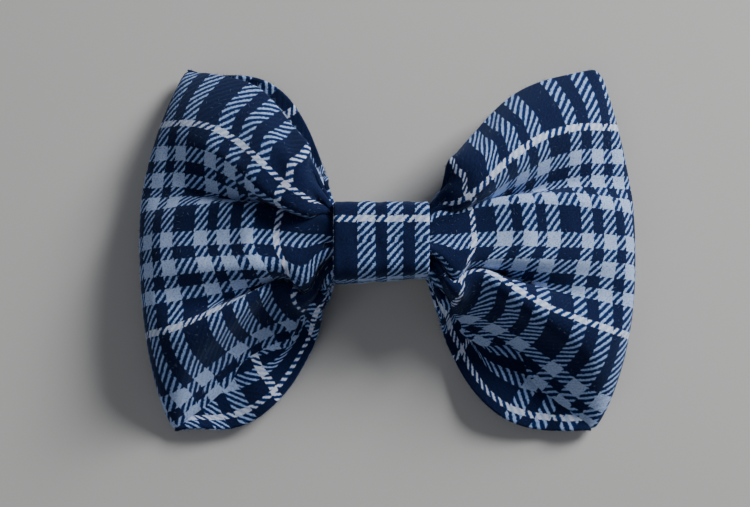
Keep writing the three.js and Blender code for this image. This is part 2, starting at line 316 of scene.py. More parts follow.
def panel(loop, v, outs, front):
    """Points of the front or back of a loop, [out, v, xyz], before the knot's offset."""
    rim = np.clip(np.abs(v) / v[-1], 0, 1)
    corner = np.where(v > 0, loop.corners[0], loop.corners[1])
    reach = mix(loop.reach, corner, rim ** EDGE_CURVE)
    apex = mix(FOLD_Z, FOLD_CORNER_Z, rim ** 2)
    points = []
    for out in outs:
        upper, lower = [
            mix(WAIST_HALF_HEIGHT, CORNER_HALF_HEIGHT, 1 - (1 - out) ** fast)
            for fast in (loop.spreads if front else loop.back_spreads)
        ]
        half_height = (upper + lower) / 2
        x = mix(BAND_HALF, reach, out)
        gather = 1 - float(smooth(out, 0.0, GATHER_REACH))
        slope = sum(pleat.slope(v, out) for pleat in (loop.pleats if front else BACK_PLEATS))
        if front:
            slope = loop.lie(v) + slope
        y, fall = across_curve(v, slope, gather, half_height)
        y = np.where(y > 0, y * upper / y[-1], -y * lower / y[0])
        if front:
            raised = TONGUE_RISE * (tongue(v) - TONGUE_SHARE)
            fall = mix(fall, gathers_of(v, fall, GATHER_DEPTH) + raised, gather)
            z = mix(WAIST_FRONT_Z, loop.crest, float(smooth(out, 0.0, 0.5))) + fall
            z = np.maximum(z, LOWEST_FRONT_Z)
        else:
            away = 1 - smooth(np.hypot(x, 1.6 * y), BACK_FLAT_FROM, BACK_FLAT_TO)
            z = mix(STRIP_HALF, WAIST_BACK_Z, away) + gathers_of(v, fall, GATHER_DEPTH / 2) * gather
        roll = np.sqrt(np.clip(1 - out ** loop.roll, 0, 1))
        z = mix(apex, z, roll)
        points.append(np.stack([x, y, np.maximum(z, STRIP_HALF)], axis=1))
    return np.array(points)


def even_spacing(line, count):
    """The same line with its points evenly spaced along it."""
    length = np.concatenate([[0], np.cumsum(np.linalg.norm(np.diff(line, axis=0), axis=1))])
    at = np.linspace(0, length[-1], count)
    return np.stack([np.interp(at, length, line[:, i]) for i in range(3)], axis=1)


def loop_points(loop, v, waist, front_columns, back_columns):
    """A loop from the middle of its front to the middle of its back, [column, v, xyz]."""
    outs = 1 - (1 - np.linspace(0, 1, 90)) ** 1.7
    front = panel(loop, v, outs, True)
    back = panel(loop, v, outs, False)[::-1]
    front = np.stack([even_spacing(front[:, j], front_columns + 1) for j in range(len(v))], axis=1)
    back = np.stack([even_spacing(back[:, j], back_columns + 1) for j in range(len(v))], axis=1)
    share = np.linspace(0, 1, waist + 1)[:-1]
    start = np.array([front[0] * (s, 1, 1) for s in share])
    end = np.array([back[-1] * (s, 1, 1) for s in share[::-1]])
    points = np.concatenate([start, front, back[1:], end])
    points[:, :, 0] *= loop.side
    return points


def strip_start(sizes):
    """The whole strip as it is laid up before it settles, and each point's place in the flat cloth."""
    rows = round(sizes.height / sizes.grid) + 1
    v = np.linspace(-sizes.height / 2, sizes.height / 2, rows)
    waist = round(BAND_HALF / sizes.grid)
    columns = round(sizes.loop_length / sizes.grid)
    right = loop_points(RIGHT, v, waist, columns, columns)
    left = loop_points(LEFT, v, waist, columns, columns)
    points = np.concatenate([left[::-1], right[1:]])
    count = len(right)
    u_half = np.concatenate([
        np.linspace(0, BAND_HALF, waist + 1)[:-1],
        BAND_HALF + np.linspace(0, 2 * sizes.loop_length, 2 * columns + 1),
        BAND_HALF + 2 * sizes.loop_length + np.linspace(0, BAND_HALF, waist + 1)[1:],
    ])[:count]
    u = np.concatenate([-u_half[::-1], u_half[1:]])
    points[:, :, 0] += KNOT_X
    return points, u, v


# ------------------------------------------------------------------ settling the cloth

def grid_faces(columns, rows, start=0):
    """Quads of a grid whose points run row by row within each column."""
    at = np.arange(columns * rows).reshape(columns, rows) + start
    return np.stack([at[:-1, :-1], at[1:, :-1], at[1:, 1:], at[:-1, 1:]], axis=-1).reshape(-1, 4)


def settle(points, frames):
    """Lets the strip settle as cloth: held where the knot grips it, lying on the table."""
    columns, rows = points.shape[:2]
    cloth = mesh_object("settling_strip", points.reshape(-1, 3), grid_faces(columns, rows).tolist())
    gripped = np.abs(points[:, :, 0] - KNOT_X) <= BAND_HALF + 0.5
    held = np.flatnonzero(gripped.reshape(-1)).tolist()
    cloth.vertex_groups.new(name="gripped").add(held, 1.0, "REPLACE")

    table = square("settling_table", 150)
    table.modifiers.new("Collision", "COLLISION")
    table.collision.thickness_outer = 0.5 * MM
    table.collision.cloth_friction = 20

    modifier = cloth.modifiers.new("Cloth", "CLOTH")
    cloth_settings = {
        "quality": 8, "mass": 0.01, "tension_stiffness": 60, "compression_stiffness": 60,
        "shear_stiffness": 20, "bending_stiffness": 1.0, "air_damping": 5,
        "vertex_group_mass": "gripped",
    }
    for key, value in cloth_settings.items():
        setattr(modifier.settings, key, value)
    modifier.collision_settings.distance_min = 0.5 * MM
    modifier.collision_settings.use_self_collision = False
    for number in range(1, frames + 1):
        bpy.context.scene.frame_set(number)
    graph = bpy.context.evaluated_depsgraph_get()
    settled = cloth.evaluated_get(graph).to_mesh()
    flat = np.empty(columns * rows * 3)
    settled.vertices.foreach_get("co", flat)
    cloth.evaluated_get(graph).to_mesh_clear()
    for piece in (cloth, table):
        bpy.data.objects.remove(piece)
    bpy.context.scene.frame_set(1)
    return flat.reshape(columns, rows, 3) / MM


def relax(points):
    """Takes the grid's own unevenness out of the settled strip."""
    for axis in (0, 1):
        lines = np.moveaxis(points, axis, 0)
        mean = lines.copy()
        mean[1:-1] = (lines[:-2] + 2 * lines[1:-1] + lines[2:]) / 4
        points = np.moveaxis(mean, 0, axis)
    return points


def cubic(points, at):
    """Points of a grid read at fractional places along its first axis by a smooth curve."""
    count = len(points)
    base = np.clip(np.floor(at).astype(int), 0, count - 2)
    t = (at - base).reshape((-1,) + (1,) * (points.ndim - 1))
    p0, p1 = points[np.maximum(base - 1, 0)], points[base]
    p2, p3 = points[base + 1], points[np.minimum(base + 2, count - 1)]
    square = (2 * p0 - 5 * p1 + 4 * p2 - p3) * t ** 2
    return 0.5 * (2 * p1 + (p2 - p0) * t + square + (3 * p1 - p0 - 3 * p2 + p3) * t ** 3)


def normals_of(points):
    """Unit normals of a grid, on the cloth's outer side."""
    along = np.gradient(points, axis=0)
    across = np.gradient(points, axis=1)
    normal = np.cross(along, across)
    return normal / np.maximum(np.linalg.norm(normal, axis=2, keepdims=True), 1e-9)


def finer(points, u, v, columns_by, rows_at):
    """A finer grid through the settled one, with rows where they're asked for."""
    at = np.arange(0, len(points) - 1 + 1e-6, 1 / columns_by)
    fine = cubic(points, at)
    fine_u = np.interp(at, np.arange(len(u)), u)
    rows_index = np.interp(rows_at, v, np.arange(len(v)))
    fine = cubic(fine.transpose(1, 0, 2), rows_index).transpose(1, 0, 2)
    return fine, fine_u


def rows_with_seams(height, spacing, roll):
    """Places up the strip, closer together where the seam rolls over at each edge."""
    edge = roll * (1 - np.cos(np.linspace(0, np.pi / 2, 6)))
    middle = np.arange(-height / 2 + roll + spacing, height / 2 - roll - spacing / 2, spacing)
    return np.concatenate([-height / 2 + edge, middle, (height / 2 - edge)[::-1]])


def layer(name, points, u, v, inner, outer, seam_roll, swap=False):
    """One cloth layer as a closed mesh between two offsets from the grid, its edges turned in
    at the seams. swap lays the grain the other way."""
    normal = normals_of(points)
    edge = np.minimum(v - v[0], v[-1] - v)
    x = np.clip(edge / seam_roll, 0, 1)
    turned = np.sqrt(np.clip(1 - (1 - x) ** 2, 0, 1))[None, :, None]
    grids = [points + normal * outer * turned, points + normal * inner * turned]
    columns, rows = points.shape[:2]
    size = columns * rows
    faces = [grid_faces(columns, rows), grid_faces(columns, rows, size)[:, ::-1]]
    at = np.arange(size).reshape(columns, rows)
    for line, flipped in ((at[0], False), (at[-1], True), (at[:, 0], True), (at[:, -1], False)):
        wall = np.stack([line[:-1], line[1:], line[1:] + size, line[:-1] + size], axis=-1)
        faces.append(wall[:, ::-1] if flipped else wall)
    both = np.concatenate([grid.reshape(-1, 3) for grid in grids])
    piece = mesh_object(name, both, np.concatenate(faces).tolist())
    flat = np.stack(np.meshgrid(u, v, indexing="ij"), axis=-1).reshape(-1, 2)
    if swap:
        flat = flat[:, ::-1]
    map_cloth(piece, np.concatenate([flat, flat]))
    return piece


# ------------------------------------------------------------------ the knot, threads and clip

BAND_ROUNDING = 2 / 4.6       # 1 is an ellipse and 0 is a box
LAP_LIFT, LAP_SINK = 0.42, 0.22
BINDING_TURNS, BINDING_PITCH, BINDING_RADIUS = 5, 0.85, 0.22
STITCH_COUNT, STITCH_RADIUS = 14, 0.16
WIRE_RADIUS = 0.3
EDGE_ROUNDING = 0.12
STAMPINGS = {
    "clip_base": "bow", "left_pin": "bow", "right_pin": "bow",
    "left_jaw": "left_jaw", "right_jaw": "right_jaw",
}


def band_section(angle, x, band, depth):
    """A point of the band's ring, at an angle from its upper edge: a rounded box round the
    waist, its lower edge higher on the right. depth is how far inside the outline it lies."""
    across, up = [np.sign(c) * np.abs(c) ** BAND_ROUNDING for c in (np.cos(angle), np.sin(angle))]
    share = (x / BAND_HALF + 1) / 2
    half_height = BAND_HALF_HEIGHT - np.where(across > 0, 0, band.taper * share) - depth
    middle, half_depth = (BAND_TOP + BAND_BOTTOM) / 2, (BAND_TOP - BAND_BOTTOM) / 2 - depth
    return half_height * across, middle + half_depth * up


def band_grid(rows, band, depth, edge_radius):
    """The band's mid-surface as a grid, [place round the ring, row across], and the length of
    cloth from the middle of its front to each place round the ring."""
    half_cloth = band.cloth / 2
    angle = np.linspace(-np.pi / 2, 1.5 * np.pi, 721)
    y, z = band_section(angle, np.zeros(1), band, depth + half_cloth)
    run = np.concatenate([[0], np.cumsum(np.hypot(np.diff(y), np.diff(z)))])
    total = run[-1]
    front = np.interp(np.pi / 2, angle, run)
    lap = band.overlap / 2
    around = np.linspace(-lap, total + lap, 150)
    at = np.interp(around % total, run, angle)

    # One end lies under the other, and both edges roll over and down.
    over = smooth(around, total - 6, total - 1) * LAP_LIFT - LAP_SINK * (1 - smooth(around, 1, 6))
    flat_to = rows[-1] - band.turn_in - edge_radius
    turned = np.clip((np.abs(rows) - flat_to) / edge_radius, 0, None)
    rolled = np.clip(turned, 0, np.pi / 2)
    x = np.sign(rows) * np.where(turned > 0, flat_to + edge_radius * np.sin(rolled), np.abs(rows))
    sink = edge_radius * (1 - np.cos(rolled)) + edge_radius * np.clip(turned - np.pi / 2, 0, None)
    sides = np.clip(1 - np.abs(rows) / rows[-1], 0, 1) ** 0.5
    columns = []
    for place, theta, lift in zip(around, at, over):
        wave = 0.16 * np.sin(place * 0.9 + rows * 0.35) * np.sin(rows * 0.42 + 1.1)
        bow = 0.10 * np.sin(rows * 1.35 + np.sin(place * 0.3) * 1.5)
        inside = depth + half_cloth - lift + sink - (wave + bow) * sides
        y, z = band_section(np.full(len(rows), theta), x, band, inside)
        columns.append(np.stack([x + KNOT_X, y, z], axis=1))
    return np.array(columns), front - around


def tube(name, path, radius, sides, material):
    """A closed round tube along a path given in millimetres, with rounded ends. Its UV map is
    the length along it and the turn round it, in decimetres."""
    path = np.array(path, float)
    tangent = np.gradient(path, axis=0)
    tangent /= np.linalg.norm(tangent, axis=1, keepdims=True)
    reference = np.array([1.0, 0, 0]) if abs(tangent[0][0]) < 0.8 else np.array([0, 0, 1.0])
    side = np.cross(tangent[0], reference)
    frames = []
    for direction in tangent:
        side = side - direction * np.dot(side, direction)
        side /= np.linalg.norm(side)
        frames.append((side, np.cross(direction, side)))
    cap_at, cap_width = np.array([0.0, 0.55, 0.85])[:, None], np.array([0.3, 0.72, 0.94])
    before = path[0] - tangent[0] * radius * (1 - cap_at)
    after = path[-1] + tangent[-1] * radius * (1 - cap_at[::-1])
    centres = np.concatenate([before, path, after])
    widths = np.concatenate([cap_width, np.ones(len(path)), cap_width[::-1]]) * radius
    frames = [frames[0]] * 3 + frames + [frames[-1]] * 3
    turn = np.linspace(0, 2 * np.pi, sides, endpoint=False)
    points = np.array([
        centre + width * (np.cos(turn)[:, None] * a + np.sin(turn)[:, None] * b)
        for centre, width, (a, b) in zip(centres, widths, frames)
    ])
    count = len(points)
    at = np.arange(count * sides).reshape(count, sides)
    beside = np.roll(at, -1, axis=1)
    faces = np.stack([at[:-1], beside[:-1], beside[1:], at[1:]], axis=-1).reshape(-1, 4).tolist()
    faces += [at[0][::-1].tolist(), at[-1].tolist()]
    piece = mesh_object(name, points.reshape(-1, 3), faces)
    run = np.concatenate([[0], np.cumsum(np.linalg.norm(np.diff(centres, axis=0), axis=1))])
    index = np.arange(count * sides)
    round_it = index % sides * radius * 2 * np.pi / sides
    map_cloth(piece, np.stack([run[index // sides], round_it], axis=1))
    piece.data.materials.append(material)
    return piece


def binding_path(turns, pitch):
    """Thread wound tight round the gathered waist, sinking a little between the folds."""
    t = np.linspace(0, 2 * np.pi * turns, 48 * turns)
    half_height, half_depth, middle_z = 7.7, 5.4, 16.35
    rounding = 2 / 5
    across, up = [np.sign(c) * np.abs(c) ** rounding for c in (np.cos(t), np.sin(t))]
    dip = 0.12 * np.sin(9 * t)
    x = KNOT_X + (t / (2 * np.pi) - turns / 2) * pitch
    return np.stack([x, (half_height - dip) * across, middle_z + (half_depth - dip) * up], axis=1)


def whip_stitch_path(stitches, half_run):
    """Slanted stitches over the band's lapped edge, each going down through the cloth."""
    t = np.linspace(0, stitches, 16 * stitches)
    phase = t % 1
    y = 0.95 * np.cos(2 * np.pi * phase)
    off = np.abs(phase - 0.5)
    z = BAND_BOTTOM - 0.30 + 0.42 * smooth(off, 0.30, 0.5) + 0.38 * smooth(0.5 - off, 0.38, 0.5)
    return np.stack([KNOT_X - half_run + 2 * half_run * t / stitches, y, z], axis=1)


def spring_path(centre, side):
    """A torsion spring's wire: a leg under the thumb tab, the coil, and a leg up to the plate."""
    coil, half, turns = 1.4, 1.6, 4.25
    tab_leg, plate_leg = 5.5, 2.6
    under = np.linspace(-tab_leg, 0, 24)
    tab = np.stack([under, np.full_like(under, -half), np.full_like(under, -coil)], axis=1)
    angle = -np.pi / 2 + np.linspace(0, 2 * np.pi * turns, 180)
    along = np.linspace(-half, half, len(angle))
    wound = np.stack([coil * np.cos(angle), along, coil * np.sin(angle)], axis=1)
    up = np.linspace(0, plate_leg, 12)[1:]
    plate = np.stack([np.full_like(up, coil), np.full_like(up, half), up], axis=1)
    path = np.concatenate([tab[:-1], wound, plate])
    path[:, :2] *= side
    return path + np.array([centre.x, centre.y, centre.z])


def bevelled_copy(name, width):
    """The CAD node's shape with its edges rounded as tumbling leaves them."""
    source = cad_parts[name]
    copy = bpy.data.objects.new(f"{name}_stamped", source.data.copy())
    bpy.context.scene.collection.objects.link(copy)
    copy.matrix_world = source.matrix_world
    bevel = copy.modifiers.new("Edge", "BEVEL")
    bevel.width = width * MM
    bevel.segments = 2
    bevel.limit_method = "ANGLE"
    bevel.angle_limit = math.radians(35)
    bevel.harden_normals = False
    bpy.context.view_layer.update()
    graph = bpy.context.evaluated_depsgraph_get()
    mesh = bpy.data.meshes.new_from_object(copy.evaluated_get(graph))
    copy.modifiers.clear()
    copy.data = mesh
    mesh.set_sharp_from_angle(angle=math.radians(40))
    return copy


def nap_fibres(name, points, normal, count, lengths, seed):
    """Fibres that brushing has raised: thin closed spikes, each bent over by a random amount.
    Points and normals are where they may stand."""
    random = np.random.default_rng(seed)
    chosen = random.integers(0, len(points), count)
    root, up = points[chosen], normal[chosen]
    lean = random.normal(size=(count, 3))
    lean -= up * np.sum(lean * up, axis=1, keepdims=True)
    lean /= np.linalg.norm(lean, axis=1, keepdims=True)
    heading = up * random.uniform(0.25, 1.0, (count, 1)) + lean * random.uniform(0.3, 1.0, (count, 1))
    heading /= np.linalg.norm(heading, axis=1, keepdims=True)
    length = random.uniform(*lengths, (count, 1))
    side = np.cross(heading, up + 0.01)
    side /= np.linalg.norm(side, axis=1, keepdims=True)
    other = np.cross(heading, side)
    bend = lean * length * random.uniform(0.1, 0.5, (count, 1))
    turn = np.arange(3) * 2 * np.pi / 3
    ring = np.cos(turn)[None, :, None] * side[:, None] + np.sin(turn)[None, :, None] * other[:, None]
    base = (root - up * FIBRE_ROOT_DEPTH)[:, None] + ring * FIBRE_RADII[0]
    middle = (root + heading * length * 0.55)[:, None] + ring * FIBRE_RADII[1]
    tip = (root + heading * length + bend)[:, None]
    vertices = np.concatenate([base, middle, tip], axis=1)
    faces = [(2, 1, 0)]
    for i in range(3):
        j = (i + 1) % 3
        faces += [(i, j, j + 3), (i, j + 3, i + 3), (i + 3, j + 3, 6)]
    every = np.arange(count)[:, None, None] * vertices.shape[1]
    faces = (np.array(faces)[None] + every).reshape(-1, 3)
    return mesh_object(name, vertices.reshape(-1, 3), faces.tolist())


def strip_fibres(points, lift):
    """Fibres all over the strip's face, and more of them along its two seamed edges."""
    normal = normals_of(points)
    face = points + normal * lift
    places = [face[:, SEAM_ROWS:-SEAM_ROWS].reshape(-1, 3)]
    ways = [normal[:, SEAM_ROWS:-SEAM_ROWS].reshape(-1, 3)]
    for row, inner in ((3, 9), (-4, -10)):
        out = points[:, row] - points[:, inner]
        out /= np.linalg.norm(out, axis=1, keepdims=True)
        places.append(np.repeat(face[:, row] * 0.5 + points[:, row] * 0.5, SEAM_CROWDING, axis=0))
        ways.append(np.repeat(out, SEAM_CROWDING, axis=0))
    places, ways = np.concatenate(places), np.concatenate(ways)
    return nap_fibres("nap_fibres", places, ways, FIBRE_COUNT, FIBRE_LENGTHS, FIBRE_SEED)


# ------------------------------------------------------------------ materials

# Threads lie this close; a 2/2 twill repeats every four.
ENDS_PER_MM = 1 / 0.465
PICKS_PER_MM = 1 / 0.51
TWILL_REPEAT = 4.0

FUZZ_SHAKE = 0.9       # millimetres, how far the nap blurs the yarns' edges
# Painted shade in the furrows between yarn floats: how dark it is, and how much of it the nap fills where
# both yarns are pale.
FURROW_SHADE, FURROW_SHADE_FILLED = 0.65, 0.55
NAP_SHARE = 0.14       # of each yarn's colour, seen through the other's nap
WEAVE_REPEAT = 0.55    # millimetres, of the interfacing's plain weave
YARN_SHADES = (
    (0.0, "#0a1535"), (0.1, "#142a5e"), (0.22, "#2250a0"), (0.36, "#5d92d8"), (0.45, "#94b4e8"),
    (0.54, "#bfd0f0"), (1.0, "#e6ecff"),
)

FIBRE_COUNT = 9000
FIBRE_SEED = 7
FIBRE_LENGTHS = (0.25, 1.1)
FIBRE_RADII = (0.032, 0.024)
FIBRE_ROOT_DEPTH = 0.1
SEAM_ROWS = 8          # rows of the grid that belong to each seam
SEAM_CROWDING = 24     # fibres at a seam's point for each one elsewhere


def stripe_list(white, edge, stripe, gap, middle, wide):
    """One repeat of the check as (width in mm, level), where the level is 0 navy, 0.5 pale blue
    and 1 white."""
    triple = [(stripe, 0.5), (gap, 0), (stripe, 0.5), (gap, 0), (stripe, 0.5)]
    narrow = [(white, 1), (edge, 0), *triple, (middle, 0), *triple, (edge, 0)]
    return [*narrow, (white, 1), (wide, 0), *triple, (wide, 0)]


WARP = stripe_list(white=1.4, edge=5.83, stripe=3.7, gap=2.9, middle=5.9, wide=16.03)
WEFT = stripe_list(white=1.53, edge=5.04, stripe=3.6, gap=3.0, middle=6.0, wide=14.54)

# Where the check starts on each cut piece, along and across its middle, in millimetres.
OUTER_CHECK = (22.42, -21.7)
LINING_CHECK = (5.0, -43.2)
KNOT_CHECK = (-12.93, 3.7)


def stripes(tree, coordinate, widths, start):
    """The stripe level at a coordinate in mm, by a ramp over one repeat of the check."""
    total = sum(width for width, _ in widths)
    shifted = node(tree, "Math", [coordinate, start], operation="SUBTRACT")
    share = node(tree, "Math", [shifted, total], operation="DIVIDE")
    wrapped = node(tree, "Math", [share], operation="FRACT")
    stops, at = [], 0.0
    for width, level in widths:
        stops.append((at / total, (level, level, level, 1)))
        at += width
    ramp = node(tree, "ValToRGB", [wrapped], stops)
    ramp.color_ramp.interpolation = "CONSTANT"
    return ramp


def flannel(name, u_start, v_start):
    """Yarn-dyed cotton flannel, woven in a 2/2 twill of navy, pale blue and white yarns and
    brushed. The eye sees steep diagonal dashes where a pale stripe crosses navy, solid blocks
    where two pale stripes cross, and soft fuzzy edges to both."""
    material, tree, surface = new_material(name)
    place = node(tree, "UVMap", [], uv_map="cloth")
    in_mm = node(tree, "VectorMath", {0: place, "Scale": MM_PER_DM}, operation="SCALE")
    fuzz = node(tree, "TexNoise", {"Vector": place, "Scale": 260.0, "Detail": 3.0, "Roughness": 0.6})
    centred = node(tree, "VectorMath", [fuzz.outputs["Color"], (0.5, 0.5, 0.5)], operation="SUBTRACT")
    shake = node(tree, "VectorMath", {0: centred, "Scale": FUZZ_SHAKE}, operation="SCALE")
    moved = node(tree, "VectorMath", [in_mm, shake], operation="ADD")
    split = node(tree, "SeparateXYZ", [moved])

    counts, levels = [], []
    for axis, per_mm, widths, start in (
        (0, ENDS_PER_MM, WARP, u_start), (1, PICKS_PER_MM, WEFT, v_start),
    ):
        count = node(tree, "Math", [split.outputs[axis], per_mm], operation="MULTIPLY")
        whole = node(tree, "Math", [count], operation="FLOOR")
        yarn = node(tree, "Math", [whole, per_mm], operation="DIVIDE")
        counts.append(count)
        levels.append(stripes(tree, yarn, widths, start))
    warp, weft = levels

    # The twill line: warp floats over two and under two, one pick higher at each end.
    steps = node(tree, "Math", counts, operation="SUBTRACT")
    repeats = node(tree, "Math", [steps, TWILL_REPEAT], operation="DIVIDE")
    phase = node(tree, "Math", [repeats], operation="FRACT")
    centred = node(tree, "Math", [phase, 0.5], operation="SUBTRACT")
    wave = node(tree, "Math", [centred], operation="ABSOLUTE")
    over = node(tree, "MapRange", {0: wave, 1: 0.16, 2: 0.34}, interpolation_type="SMOOTHSTEP")
    crisp = node(tree, "Mix", {0: over, 2: weft, 3: warp}, data_type="FLOAT")

    # Painted shade darkens the furrows between one yarn's floats and the other's, less where the nap
    # fills them because both yarns are pale. Brushing also lifts fibres of each yarn over the other.
    off_edge = node(tree, "Math", [wave, 0.25], operation="SUBTRACT")
    near_edge = node(tree, "Math", [off_edge], operation="ABSOLUTE")
    furrow_shade_mask = node(
        tree, "MapRange", {0: near_edge, 1: 0.0, 2: 0.1, 3: 1.0, 4: 0.0}, interpolation_type="SMOOTHSTEP",
    )
    paler = node(tree, "Math", [warp, weft], operation="MINIMUM")
    both = node(tree, "Math", [paler, 2.0], operation="MULTIPLY", use_clamp=True)
    share = node(tree, "Math", [both, -FURROW_SHADE_FILLED, FURROW_SHADE], operation="MULTIPLY_ADD")
    # depth is how dark the painted furrow shade is at each point.
    depth = node(tree, "Math", [furrow_shade_mask, share], operation="MULTIPLY")
    kept = node(tree, "Math", [1.0, depth], operation="SUBTRACT")
    with_furrow_shade = node(tree, "Math", [crisp, kept], operation="MULTIPLY")
    summed = node(tree, "Math", [warp, weft], operation="ADD")
    napped = node(tree, "Math", [summed, 0.5], operation="MULTIPLY")
    shown = node(tree, "Mix", {0: NAP_SHARE, 2: with_furrow_shade, 3: napped}, data_type="FLOAT")

    # Yarns are uneven, and navy and pale fibres are caught in each other's nap.
    grain = node(tree, "TexNoise", {"Vector": in_mm, "Scale": 2.6, "Detail": 4.0, "Roughness": 0.8})
    uneven = node(tree, "Math", [grain.outputs["Fac"], 0.9, 0.55], operation="MULTIPLY_ADD")
    specks = node(tree, "Math", [grain.outputs["Fac"], 0.5, -0.235], operation="MULTIPLY_ADD")
    level = node(tree, "Math", [shown, uneven, specks], operation="MULTIPLY_ADD")
    colour = node(tree, "ValToRGB", [level], [(at, linear(shade)) for at, shade in YARN_SHADES])

    height = node(tree, "Math", [over, 0.6, fuzz.outputs["Fac"]], operation="MULTIPLY_ADD")
    bump = node(tree, "Bump", {"Height": height, "Strength": 0.5, "Distance": 0.00015})
    feed(surface, {
        "Base Color": colour, "Normal": bump, "Roughness": 0.95, "IOR": 1.5, "Specular IOR Level": 0.15,
        "Sheen Weight": 0.25, "Sheen Roughness": 0.5, "Sheen Tint": linear("#8fa8d8"),
    })
    return material


def cotton_nap(name):
    """Single raised cotton fibres. The eye sees a faint pale blue fuzz against the light."""
    material, tree, surface = new_material(name)
    fibre = node(tree, "NewGeometry", [])
    shades = [(0.0, linear("#16264f")), (1.0, linear("#93a9d4"))]
    colour = node(tree, "ValToRGB", [fibre.outputs["Random Per Island"]], shades)
    feed(surface, {"Base Color": colour, "Roughness": 0.8, "Specular IOR Level": 0.2})
    return material


def woven_interfacing(name):
    """White plain-woven cotton interfacing. The eye sees a fine square weave, matt and dry, its low
    points painted darker as shade.
    """
    material, tree, surface = new_material(name)
    place = node(tree, "UVMap", [], uv_map="cloth")
    in_mm = node(tree, "VectorMath", {0: place, "Scale": MM_PER_DM}, operation="SCALE")
    split = node(tree, "SeparateXYZ", [in_mm])
    threads = []
    for axis in (0, 1):
        turn = node(tree, "Math", [split.outputs[axis], 2 * math.pi / WEAVE_REPEAT], operation="MULTIPLY")
        threads.append(node(tree, "Math", [turn], operation="SINE"))
    weave = node(tree, "Math", threads, operation="MULTIPLY")
    # The colour follows the weave's height: painted shade in its low points, palest where it stands up.
    level = node(tree, "Math", [weave, 0.5, 0.5], operation="MULTIPLY_ADD")
    shades = [(0.0, linear("#c9c7c0")), (1.0, linear("#eceae4"))]
    colour = node(tree, "ValToRGB", [level], shades)
    bump = node(tree, "Bump", {"Height": weave, "Strength": 0.5, "Distance": 0.00006})
    feed(surface, {"Base Color": colour, "Normal": bump, "Roughness": 0.9, "Specular IOR Level": 0.2})
    return material


def sewing_thread(name):
    """Mercerised three-ply cotton thread. The eye sees a tight slanting twist, slightly glossy, its
    grooves painted darker as shade.
    """
    material, tree, surface = new_material(name)
    place = node(tree, "UVMap", [], uv_map="cloth")
    in_mm = node(tree, "VectorMath", {0: place, "Scale": MM_PER_DM}, operation="SCALE")
    split = node(tree, "SeparateXYZ", [in_mm])
    along = node(tree, "Math", [split.outputs[0], 9.0], operation="MULTIPLY")
    round_it = node(tree, "Math", [split.outputs[1], 14.0], operation="MULTIPLY")
    slant = node(tree, "Math", [along, round_it], operation="ADD")
    ply = node(tree, "Math", [slant], operation="SINE")
    # The colour follows the plies' height: painted shade in the grooves between them.
    level = node(tree, "Math", [ply, 0.5, 0.5], operation="MULTIPLY_ADD")
    shades = [(0.0, linear("#0a1026")), (1.0, linear("#1d2a52"))]
    colour = node(tree, "ValToRGB", [level], shades)
    bump = node(tree, "Bump", {"Height": ply, "Strength": 0.7, "Distance": 0.00005})
    feed(surface, {"Base Color": colour, "Normal": bump, "Roughness": 0.55})
    return material


def nickel_plate(name):
    """Stamped sheet steel, tumbled and nickel plated. The eye sees a warm grey metal with a soft
    gloss, fine tumbling marks and faint tool scratches."""
    material, tree, surface = new_material(name)
    place = node(tree, "TexCoord", []).outputs["Object"]
    cloud = node(tree, "TexNoise", {"Vector": place, "Scale": 260.0, "Detail": 4.0})
    stretched = node(tree, "Mapping", {"Vector": place, "Scale": (300, 2600, 2600)})
    scratch = node(tree, "TexNoise", {"Vector": stretched, "Scale": 1.0, "Detail": 2.0})
    gloss = node(tree, "MapRange", {0: cloud.outputs["Fac"], 3: 0.24, 4: 0.42})
    shades = [(0.0, linear("#b5b1a8")), (1.0, linear("#d0cdc6"))]
    colour = node(tree, "ValToRGB", [cloud.outputs["Fac"]], shades)
    bump = node(tree, "Bump", {"Height": scratch.outputs["Fac"], "Strength": 0.25, "Distance": 0.00002})
    feed(surface, {"Base Color": colour, "Roughness": gloss, "Normal": bump, "Metallic": 1.0})
    return material


def spring_wire(name):
    """Cold drawn spring wire. The eye sees a darker grey than the plating, with die lines that
    run along the wire."""
    material, tree, surface = new_material(name)
    place = node(tree, "UVMap", [], uv_map="cloth")
    stretched = node(tree, "Mapping", {"Vector": place, "Scale": (60, 2400, 1)})
    lines = node(tree, "TexNoise", {"Vector": stretched, "Scale": 1.0, "Detail": 3.0})
    shades = [(0.0, linear("#6f7074")), (1.0, linear("#9b9ca0"))]
    colour = node(tree, "ValToRGB", [lines.outputs["Fac"]], shades)
    gloss = node(tree, "MapRange", {0: lines.outputs["Fac"], 3: 0.28, 4: 0.5})
    bump = node(tree, "Bump", {"Height": lines.outputs["Fac"], "Strength": 0.3, "Distance": 0.00001})
    feed(surface, {"Base Color": colour, "Roughness": gloss, "Normal": bump, "Metallic": 1.0})
    return material


# ------------------------------------------------------------------ operators

